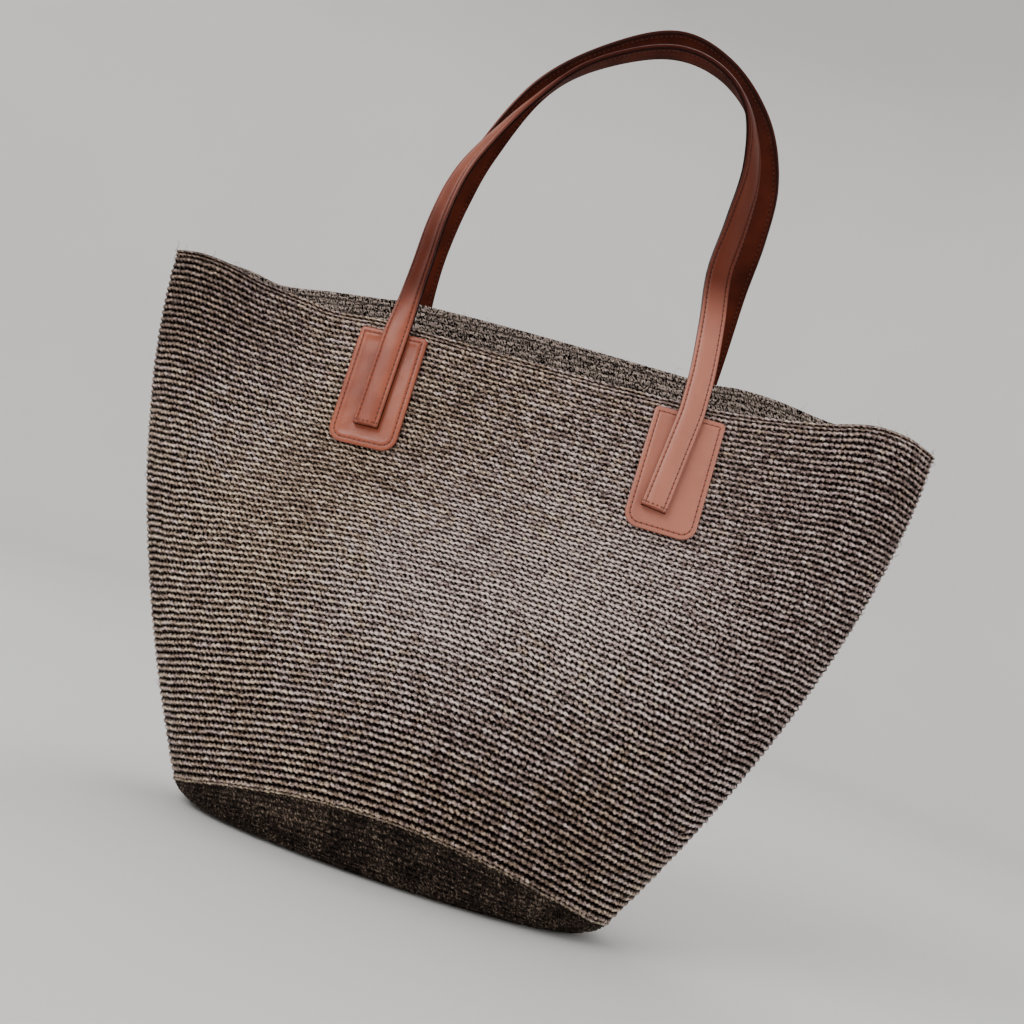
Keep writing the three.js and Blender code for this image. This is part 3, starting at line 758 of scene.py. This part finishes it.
def woven_wall():
    edges = np.linspace(0, ROWS, ROW_BANDS + 1).round().astype(int)
    for band, (first, last) in enumerate(zip(edges, edges[1:])):
        build = Build()
        for row in range(first, last):
            row_cord(build, wall_surface, row + .5, row, (row - first, last - first))
        build.piece(f"weave_rows_{band + 1}", RAFFIA, ["woven_wall"])


def woven_base():
    build = Build()
    rows = FLANK_ROWS + FLAT_ROWS
    for row in range(rows):
        row_cord(build, base_surface, -(row + .5), BASE_ROW + row, (row, rows), reach=1.95, knobs=.5)
    build.piece("weave_base", UNDERSIDE, ["woven_base"])

    def crease(a, rho):
        return wall_point(a, rho * CREASE_PITCH / WALL_RISE, CLOTH / 2)
    build = Build()
    row_cord(build, crease, -.05, CREASE_ROW, (0, 1), reach=2.6, back=1.6, span=.8)
    build.piece("crease_cord", CREASE, ["woven_base"])


def woven_edge():
    """The finishing round on the mouth is two finer rows."""
    def band(a, rho):
        point = wall_point(a, 1.0, CLOTH / 2)
        point[..., 2] += (rho - EDGE_ROWS) * EDGE_BAND / EDGE_ROWS
        return point
    build = Build()
    for row in range(EDGE_ROWS):
        row_cord(build, band, row + .5, EDGE_ROW + row, (row, EDGE_ROWS), reach=2.35 + .15 * row, span=.98,
                 stitch=4.2)
    build.piece("edge_chain", RAFFIA, ["woven_edge"])


# Patches
def patch_x(side, hand):
    return CENTRE[side] + hand * SPREAD[side]


def patch_top(side):
    edges = [float(edge_height(side * math.acos(patch_x(side, h) / MOUTH_HALF))) for h in (-1, 1)]
    return min(edges) - PATCH_DROP


SIDE_POINTS = (34, 16, 34, 18)  # along the right side, the foot, the left side and the top


def rounded(width, length, top_round, foot_round, margin):
    """A patch's outline a margin inside its edge: across and down, from its top right by its foot."""
    half, low = width / 2 - margin, length - margin
    top, foot = max(top_round - margin, .35), max(foot_round - margin, .35)
    corners = [(half - top, margin + top, top, -90), (half - foot, low - foot, foot, 0),
               (foot - half, low - foot, foot, 90), (top - half, margin + top, top, 180)]
    arcs = []
    for x, down, radius, start in corners:
        turn = np.radians(start + np.linspace(0, 90, 9))
        arcs.append(np.stack([x + radius * np.cos(turn), down + radius * np.sin(turn)], -1))
    points = []
    for arc, after, count in zip(arcs, arcs[1:] + arcs[:1], SIDE_POINTS):
        t = np.linspace(0, 1, count, endpoint=False)[1:, None]
        points += [arc, lerp(arc[-1], after[0], t)]
    return np.concatenate(points)


def even_steps(line, pitch):
    """Places a pitch apart round a closed outline, and the ways it goes there."""
    closed = np.vstack([line, line[:1]])
    run = run_along(closed)
    count = int(round(run[-1] / pitch))
    at = np.arange(count) * run[-1] / count
    ways = spots((at + .5) % run[-1], run, closed) - spots((at - .5) % run[-1], run, closed)
    return spots(at % run[-1], run, closed), unit(ways)


PATCH_SEAM, BACKING_SEAM = 3.2, 1.8
FAR_FROM_SEAM = 9.0
# The rings of a patch's leather: margins inside its edge, and shares of its height on the edge
PATCH_RINGS = [.12, .45, .95, 1.6, 2.3, 2.8, 3.05, 3.2, 3.35, 3.6, 4.1, 4.9, 6.0, 7.5, 9.5, 12, 15, 18]
EDGE_RINGS = [.08, .35, .6, .8]
# A patch's face, in mm: how low its edge and its seam lie, and how much it swells, is pressed and is worn
EDGE_LOW, GROOVE_DEEP, GROOVE_WIDE, BACKING_LOW = .5, .22, .5, .3
SWELL, TOP_SWELL, PRESSED, WORN = .42, .3, .25, .12


def patch_height(margin, across, down, lean, tilt):
    """Height of a patch's face over its back, from its edge inwards."""
    edge = EDGE_LOW * (1 - smooth(-.2, 1.3, margin))
    groove = GROOVE_DEEP * hump(margin, PATCH_SEAM, GROOVE_WIDE)
    top_swell = TOP_SWELL * hump(down, PATCH_SEAM + 2.2, 2.0) * smooth(PATCH_SEAM, PATCH_SEAM + 1.5, margin)
    swell = SWELL * hump(margin, PATCH_SEAM + 1.7, 1.3) + top_swell
    worn = WORN * np.sin(across * .33 + down * .21) * np.sin(down * .17 + 1.3) * smooth(3.5, 8, margin)
    strap = math.sin(math.radians(tilt)) * PATCH_LENGTH / 2 - math.tan(math.radians(lean + tilt)) * down
    beside = smooth(STRAP_HALF + .3, STRAP_HALF + 3, np.abs(across - strap))
    below = smooth(STRAP_FOOT - .5, STRAP_FOOT - 3, PATCH_LENGTH - down)
    free = np.maximum(beside, below)
    pressed = PRESSED * (1 - free) * smooth(4, 6, margin)
    return PATCH_THICK - .08 - edge - groove + free * (swell + worn) - pressed


class Patch:
    """A leather patch on the wall, or its backing inside it."""

    def __init__(self, side_name, hand_name, outer):
        self.side, self.outer = SIDES[side_name], outer
        self.at = self.side, HANDS[hand_name]
        self.title = f"{'patch' if outer else 'backing'}_{side_name}_{hand_name}"
        self.margin, self.top_margin = (0, 0) if outer else (BACKING_MARGIN, BACKING_TOP_MARGIN)
        self.thick, self.seam = (PATCH_THICK, PATCH_SEAM) if outer else (BACKING_THICK, BACKING_SEAM)

    def outline(self, inside):
        return rounded(PATCH_WIDTH - 2 * self.margin, PATCH_LENGTH - self.margin - self.top_margin,
                       PATCH_TOP_ROUND, PATCH_FOOT_ROUND - self.margin, inside)

    def place(self, across, down, out):
        """A point across and down from the middle of the top, and out from the leather's back."""
        turn = math.radians(TILTS[self.at])
        low = self.top_margin + down - PATCH_LENGTH / 2
        x = patch_x(*self.at) + across * math.cos(turn) + low * math.sin(turn)
        up = across * math.sin(turn) - low * math.cos(turn)
        p = wall_at(x, patch_top(self.side) - PATCH_LENGTH / 2 + up, self.side, 0 if self.outer else CLOTH)
        p[..., 1] += self.side * (PATCH_SEAT + out if self.outer else -PATCH_SEAT - out)
        return p

    def face_height(self, inside, across, down):
        if self.outer:
            return patch_height(inside, across, down, LEANS[self.at], TILTS[self.at])
        edge = BACKING_LOW * (1 - smooth(-.1, .8, inside))
        return BACKING_THICK - edge - BACKING_LOW * hump(inside, self.seam, .3)

    def rings(self):
        """Margin, height and shade of each ring, from the back's middle to the face's: the edge is painted
        dark, and the back and the seam groove are a little darker with painted shade.
        """
        for inside in reversed(PATCH_RINGS):
            yield inside, 0.0, .9
        for share in EDGE_RINGS:
            yield 0, self.thick * share, .05
        for inside in PATCH_RINGS:
            shade = smooth(-.1, .6, inside) - .1 * hump(inside, self.seam, GROOVE_WIDE)
            yield inside, self.face_height(inside, *self.outline(inside).T), shade

    def leather(self):
        insides, heights, shades = zip(*self.rings())
        points = np.stack([self.place(*self.outline(i).T, out) for i, out in zip(insides, heights)])
        count, round_count = points.shape[:2]
        seam_line = self.outline(self.seam)
        run = run_along(np.vstack([seam_line, seam_line[:1]]))
        holes = run / run[-1] * round(run[-1] / STITCH_PITCH) + .5
        seam = stacked(holes[None, :], (np.array(insides) - self.seam)[:, None])
        baked = stacked(np.arange(count)[:, None] / count, np.arange(round_count + 1) / (round_count + 1))
        maps = {"OFBake": baked, "seam": seam, "foot": np.full(seam.shape, FAR_FROM_SEAM)}
        shade = np.repeat(np.array(shades)[:, None], round_count, 1)
        if (self.side == BACK) == self.outer:
            points, shade = points[::-1], shade[::-1]
            maps = {key: uv[::-1] for key, uv in maps.items()}
        build = Build()
        build.grid(points, maps, shade)
        build.piece(f"leather_{self.title}", TAN if self.outer else BROWN, [self.title])

    def stitches(self):
        build = Build()
        for (across, down), (way_x, way_down) in zip(*even_steps(self.outline(self.seam), STITCH_PITCH)):
            xs, downs = across + way_x * THREAD_ALONG, down + way_down * THREAD_ALONG
            thread(build, self.place(xs, downs, self.face_height(self.seam, xs, downs) + THREAD_OUT))
        build.piece(f"patch_thread_{self.title}", THREAD if self.outer else DARK_THREAD)


def tube_rings(line, radii, sides):
    """Rings of points round a line, for a thin closed tube."""
    way = unit(np.gradient(line, axis=0))
    helper = np.where(np.abs(way[:, 2:3]) > .9, [[1.0, 0, 0]], [[0, 0, 1.0]])
    first = unit(np.cross(way, helper))[:, None, :]
    second = np.cross(way[:, None, :], first)
    turn = (np.arange(sides) * 2 * np.pi / sides)[None, :, None]
    return line[:, None, :] + radii[:, None, None] * (first * np.cos(turn) + second * np.sin(turn))


# A stitch dips into its holes, which lie half a pitch to either side of its middle.
THREAD_ALONG = np.array([-1.2, -.9, 0, .9, 1.2])
THREAD_OUT = np.array([-.4, .06, .16, .06, -.4]) + .06
THREAD_RADII = np.array([.45, .95, 1.05, .95, .45]) * .3
THREAD_SIDES = 6


def thread(build, line, at=0.0):
    """One stitch of thread along a short line, at a share of its strap."""
    points = tube_rings(line, THREAD_RADII, THREAD_SIDES)
    uv = stacked(np.linspace(0, 1, len(line))[:, None], np.arange(THREAD_SIDES + 1) / THREAD_SIDES)
    build.grid(points, {"weave": uv, "OFBake": uv, "strap": uv * 0 + at}, 1.0)


# Handles
OFF_WALL = PATCH_SEAT + PATCH_THICK + SEAT + STRAP_THICK / 2


def leg_depth(side, hand):
    return abs(float(wall_at(patch_x(side, hand), patch_top(side), side)[1])) + OFF_WALL


def sewn_frames(side, hand, count=30):
    """Middle and out of a strap's sewn end, from its foot up to the patch's top."""
    down = (PATCH_LENGTH - STRAP_FOOT) * (1 - np.linspace(0, 1, count))
    lean = math.tan(math.radians(LEANS[side, hand]))

    def point(d):
        p = wall_at(patch_x(side, hand) - lean * d, patch_top(side) - d, side)
        p[..., 1] += side * OFF_WALL
        return p
    middle = point(down)
    along = unit(point(down - 1) - point(down + 1))
    return middle, square_to(wall_facing(middle[:, 0], middle[:, 2], side), along)


def catmull(points, count):
    """An open Catmull-Rom curve with tension 0.5, and its slopes."""
    p = np.asarray(points, float)
    q = np.vstack([2 * p[0] - p[1], p, 2 * p[-1] - p[-2]])
    s = np.linspace(0, len(p) - 1, count)
    i = np.minimum(s.astype(int), len(p) - 2)
    w = (s - i)[:, None]
    a, b, c, d = q[i], q[i + 1], q[i + 2], q[i + 3]
    m, n = (c - a) / 2, (d - b) / 2
    c2, c3 = 3 * (c - b) - 2 * m - n, 2 * (b - c) + m + n
    return b + m * w + c2 * w ** 2 + c3 * w ** 3, m + 2 * c2 * w + 3 * c3 * w ** 2


def loop_frames(side, count=400):
    """Middle and out of a handle above its patches, from left to right."""
    start, climb, spread = patch_top(side) + SEAT, CLIMB[side], SPREAD[side]
    legs = [leg_depth(side, h) for h in (-1, 1)]
    facings = [wall_facing(patch_x(side, h), start, side) for h in (-1, 1)]
    points = []
    for share, up, turn in ROUTES[side]:
        leg = lerp(legs[0], legs[1], (np.clip(share, -1, 1) + 1) / 2)
        depth = lerp(leg, TOP_APART, math.sin(up * math.pi / 2))
        points.append((CENTRE[side] + spread * share, side * depth, start + climb * up, turn))
    curve, slope = catmull(points, count)
    middle, along = curve[:, :3], unit(slope[:, :3])
    turn = np.radians(curve[:, 3:])
    right = (np.clip((middle[:, 0] - CENTRE[side]) / spread, -1, 1) / 2 + .5)[:, None]
    facing = square_to(facings[0] * (1 - right) + facings[1] * right, along)
    away = square_to(np.cross(np.array([0, -1.0, 0]), along), facing)
    return middle, facing * np.cos(turn) + away * np.sin(turn)


STRAP_STEP, STRAP_ROUNDS = 1.7, 3


def handle_frames(side):
    """Distance, middle, across and out along a whole strap, from foot to foot, smoothed in rounds."""
    parts = zip(sewn_frames(side, -1), loop_frames(side), sewn_frames(side, 1))
    middle, out = (np.vstack([left[:-1], loop[1:-1], right[::-1][1:]]) for left, loop, right in parts)
    run = run_along(middle)
    at = np.linspace(0, run[-1], int(run[-1] / STRAP_STEP))
    middle, out = spots(at, run, middle), spots(at, run, out)
    for _ in range(STRAP_ROUNDS):
        for line in (out, middle):
            line[1:-1] = (line[:-2] + 2 * line[1:-1] + line[2:]) / 4
    along = unit(np.gradient(middle, axis=0))
    out = square_to(out, along)
    return at, middle, np.cross(along, out), out


FACE_SEAM, LINING_SEAM, EDGE_ROUND = .3, .22, .55  # mm that they lie low


def face_height_at(across):
    """Height of the strap's face over its middle surface: flat margins, seam grooves, padded middle."""
    w = np.abs(across)
    margin = FACE_BACK + FACE_MARGIN
    dome = (FACE_THICK - FACE_MARGIN) * (1 - np.clip(w / SEAM_AT, 0, 1) ** 2.4)
    edge = EDGE_ROUND * smooth(STRAP_HALF - .8, STRAP_HALF + .05, w)
    return margin + dome - FACE_SEAM * hump(w, SEAM_AT, .5) - edge


FACE_INSETS = [0, .08, .3, .8, 1.3, 1.8, 2.1, 2.4, 2.7, 3.0, 3.5, 4.3, 5.3, 6.4, 7.5, STRAP_HALF]


def mirror(half):
    return [(-w, h, s) for w, h, s in reversed(half)]


def strap_sections():
    """The face's and the lining's closed outlines, as (across, out, shade) corners: the edges are painted
    dark, and the seam grooves and the face's hidden underside darker with painted shade.
    """
    over = [(w, face_height_at(w), smooth(STRAP_HALF, STRAP_HALF - .6, w) - .3 * hump(w, SEAM_AT, .4))
            for w in (STRAP_HALF - inset for inset in FACE_INSETS)]
    back = FACE_BACK + .02
    under = [(0, back, .8), (4, back, .8), (STRAP_HALF - .15, back, 0), (STRAP_HALF, back + .2, 0),
             (STRAP_HALF, .5, 0)]
    face = over + mirror(over[:-1]) + mirror(under[1:]) + under
    low = LINING_BACK
    half = [(0, low, 1), (3, low, 1), (SEAM_AT - .4, low + .02, .9), (SEAM_AT, low + LINING_SEAM, .5),
            (SEAM_AT + .4, low + .02, .9), (STRAP_HALF - .9, low, .9), (STRAP_HALF - .2, low + .08, .3),
            (STRAP_HALF, low + .35, 0), (STRAP_HALF, back - .3, 0), (STRAP_HALF - .2, back - .06, 0)]
    lining = half[-1:] + mirror(half[1:]) + half[:-1]
    return np.array(face), np.array(lining[::-1])


def seam_stations(length):
    """The middles of the stitches along a strap."""
    count = int((length - 2 * SEAM_IN - STITCH_PITCH) / STITCH_PITCH)
    return np.linspace(SEAM_IN + STITCH_PITCH / 2, length - SEAM_IN - STITCH_PITCH / 2, count)


def strap_piece(name, frames, section, look, nodes, blend):
    at, middle, across, out = frames
    points = middle[:, None] + across[:, None] * section[None, :, 0:1] + out[:, None] * section[None, :, 1:2]
    shade = np.repeat(section[None, :, 2], len(at), 0)
    shade[[0, -1]] = 0
    corner = np.arange(len(section) + 1)
    along = stacked((at / at[-1])[:, None], corner / (len(section) + 1))
    stations = seam_stations(at[-1])
    holes = (at - stations[0]) / (stations[1] - stations[0]) + .5
    width = section[corner % len(section), 0]
    seam = stacked(holes[:, None], np.abs(width) - SEAM_AT)
    from_foot = np.minimum(at, at[-1] - at) - SEAM_IN
    foot = stacked(width / (SEAM_AT / 2) + .5, from_foot[:, None])
    build = Build()
    build.grid(points, {"OFBake": along, "strap": along, "seam": seam, "foot": foot}, shade)
    build.piece(name, look, nodes, blend)


FOOT_STITCHES, FOOT_STITCH = np.array([-.75, -.25, .25, .75]) * SEAM_AT, .85


def strap_thread(name, frames, height, way, look, blend, foot_row):
    """Both seams of a strap, stitch by stitch, and the row across each foot."""
    at, middle, across, out = frames
    build = Build()

    def stitch(s, w, rise, station):
        s, w = np.broadcast_arrays(s, w)
        up = spots(s, at, out)
        line = spots(s, at, middle) + spots(s, at, across) * w[:, None] + up * height
        thread(build, line + up * rise[:, None], station / at[-1])
    for station in seam_stations(at[-1]):
        for w in (-SEAM_AT, SEAM_AT):
            stitch(station + THREAD_ALONG, w, THREAD_OUT * way, station)
    if foot_row:
        for station in (SEAM_IN, at[-1] - SEAM_IN):
            for w in FOOT_STITCHES:
                widths = w + THREAD_ALONG * FOOT_STITCH
                stitch(station, widths, THREAD_OUT + face_height_at(widths) - height, station)
    build.piece(name, look, (), blend)


def handle(side_name):
    side = SIDES[side_name]
    frames = handle_frames(side)
    face, lining = strap_sections()
    hinge_y, top = side * leg_depth(side, 1), patch_top(side)
    start, end = ((CENTRE[side] * MM, hinge_y * MM, (top + rise) * MM) for rise in (0, STRAP_BEND))
    blend = ("bag", f"{side_name}_handle", start, end)
    ends = [f"strap_end_{side_name}_{hand}" for hand in HANDS]
    whole = f"handle_{side_name}"
    strap_piece(f"strap_face_{side_name}", frames, face, STRAP_TAN,
                [f"{whole}_face", f"{whole}_core", *[f"{e}_face" for e in ends]], blend)
    strap_piece(f"strap_lining_{side_name}", frames, lining, BROWN,
                [f"{whole}_lining", *[f"{e}_lining" for e in ends]], blend)
    strap_thread(f"strap_thread_{side_name}", frames, face_height_at(SEAM_AT), 1, STRAP_THREAD,
                 blend, True)
    strap_thread(f"lining_thread_{side_name}", frames, LINING_BACK + LINING_SEAM, -1, DARK_THREAD,
                 blend, False)


# Stray fibres
FIBRE_POINTS, FIBRE_SIDES = 7, 4
FIBRE_LIFT = (.4, 2.2)  # mm that its ends stand off the wall


def fibres(name, places, lengths, radius):
    """Fine loose fibres that lie on the weave and lift at their ends."""
    build = Build()
    for (a, t, lean), length in zip(places, lengths):
        s = np.linspace(0, 1, FIBRE_POINTS)
        turn = lean + 1.1 * np.sin(s * 3 + lean * 5)
        da = np.cumsum(np.cos(turn)) * length / FIBRE_POINTS / WALL_RADIUS
        dt = np.cumsum(np.sin(turn)) * length / FIBRE_POINTS / WALL_RISE
        lift = chance.uniform(*FIBRE_LIFT) * (2 * s - 1) ** 2 + .15
        wall = wall_point(a + da, np.clip(t + dt, 0, 1), 0.0)
        out = unit(stacked(np.cos(a + da) * .35, np.sin(a + da), 0.0))
        line = wall + out * lift[:, None]
        line[:, 2] += np.maximum(t + dt - 1, 0) * WALL_RISE
        points = tube_rings(line, radius * (1 - .5 * s), FIBRE_SIDES)
        uv = stacked((s * 3 + a * 40)[:, None], FIBRE_ROW + np.arange(FIBRE_SIDES + 1) / (FIBRE_SIDES + 1))
        build.grid(points, {"weave": uv, "OFBake": uv % 1}, 1.0)
    build.piece(name, CREASE)


def loose_fibres():
    """Fibres along the mouth and over the wall."""
    for name, count, shares, leans, lengths, radius in (
            ("edge_fibres", 150, (.965, 1.0), (.2, 2.9), (4, 13), .13),
            ("wall_fibres", 260, (0, .96), (-.5, .5), (4, 12), .12)):
        angles = chance.uniform(-np.pi, np.pi, count)
        places = [(a, chance.uniform(*shares), chance.uniform(*leans)) for a in angles]
        fibres(name, places, chance.uniform(*lengths, count), radius)


# Stage, light and camera
FLOOR_RADIUS, FLOOR_BEND, FLOOR_TOP, FLOOR_SIDES = 2.3, 0.6, 2.8, 96


def stage():
    """A pale round floor that bends up into a wall, in m."""
    f = Finish("floor", 0.8, 0.2)
    f.colour(f.mix(f.noise(f.place(), 3.0, 2.0), rgb(222, 221, 219), rgb(230, 229, 227)))
    flat = FLOOR_RADIUS - FLOOR_BEND
    bend = [(flat + FLOOR_BEND * math.cos(t), FLOOR_BEND + FLOOR_BEND * math.sin(t))
            for t in np.linspace(-np.pi / 2, 0, 17)]
    profile = [(.6, 0), (1.4, 0), *bend, (FLOOR_RADIUS, FLOOR_TOP)]
    a = np.arange(FLOOR_SIDES) * 2 * np.pi / FLOOR_SIDES
    rings = [stacked(r * np.cos(a), r * np.sin(a), h) for r, h in profile]
    points = np.concatenate([[[0, 0, 0]], *rings]) / MM
    faces = [[0, 1 + k, 1 + (k + 1) % FLOOR_SIDES] for k in range(FLOOR_SIDES)]
    for i in range(len(profile) - 1):
        low, high = 1 + i * FLOOR_SIDES, 1 + (i + 1) * FLOOR_SIDES
        for k in range(FLOOR_SIDES):
            j = (k + 1) % FLOOR_SIDES
            faces.append([low + k, high + k, high + j, low + j])
    floor = mesh_object("floor", points, faces)
    floor.data.materials.append(f.material)


LAMPS_AIM = (0, 0, .25)


def lamp(name, place, size, power):
    data = bpy.data.lights.new(name, "AREA")
    data.shape, data.size, data.size_y = "RECTANGLE", *size
    data.energy = power
    obj = bpy.data.objects.new(name, data)
    obj.location = place
    obj.rotation_euler = (Vector(LAMPS_AIM) - Vector(place)).to_track_quat("-Z", "Y").to_euler()
    bpy.context.collection.objects.link(obj)


def lights():
    lamp("key", (-1.3, -1.5, 1.9), (1.6, 1.2), 42)
    lamp("fill", (1.8, -1.2, .9), (1.4, 1.4), 9)
    lamp("top", (.2, .5, 2.4), (1.8, 1.8), 22)
    world = bpy.data.worlds.new("soft_room")
    bpy.context.scene.world = world
    world.use_nodes = True
    back = world.node_tree.nodes["Background"]
    back.inputs["Color"].default_value = (.97, .97, 1.0, 1)
    back.inputs["Strength"].default_value = .42


CAMERA_ROUND, CAMERA_UP, CAMERA_ROLL = math.radians(7), math.radians(-4), math.radians(16.91)
CAMERA_AWAY, AIM_RIGHT, AIM_HIGH, LENS = .7223, .01504, .25368, 36.9


def camera():
    level = Matrix.Rotation(CAMERA_ROUND, 4, "Z")
    turn = level @ Matrix.Rotation(math.pi / 2 - CAMERA_UP, 4, "X") @ Matrix.Rotation(CAMERA_ROLL, 4, "Z")
    aim = Matrix.Translation(level @ Vector((AIM_RIGHT, 0, AIM_HIGH)))
    data = bpy.data.cameras.new("camera")
    data.lens, data.sensor_width = LENS, 36
    data.clip_start, data.clip_end = .05, 20
    obj = bpy.data.objects.new("camera", data)
    obj.matrix_world = aim @ turn @ Matrix.Translation((0, 0, CAMERA_AWAY))
    bpy.context.collection.objects.link(obj)
    bpy.context.scene.camera = obj


camera()
lights()
stage()
woven_wall()
woven_base()
woven_edge()
for side_name in SIDES:
    for hand_name in HANDS:
        for outer in (True, False):
            patch = Patch(side_name, hand_name, outer)
            patch.leather()
            patch.stitches()
    handle(side_name)
loose_fibres()
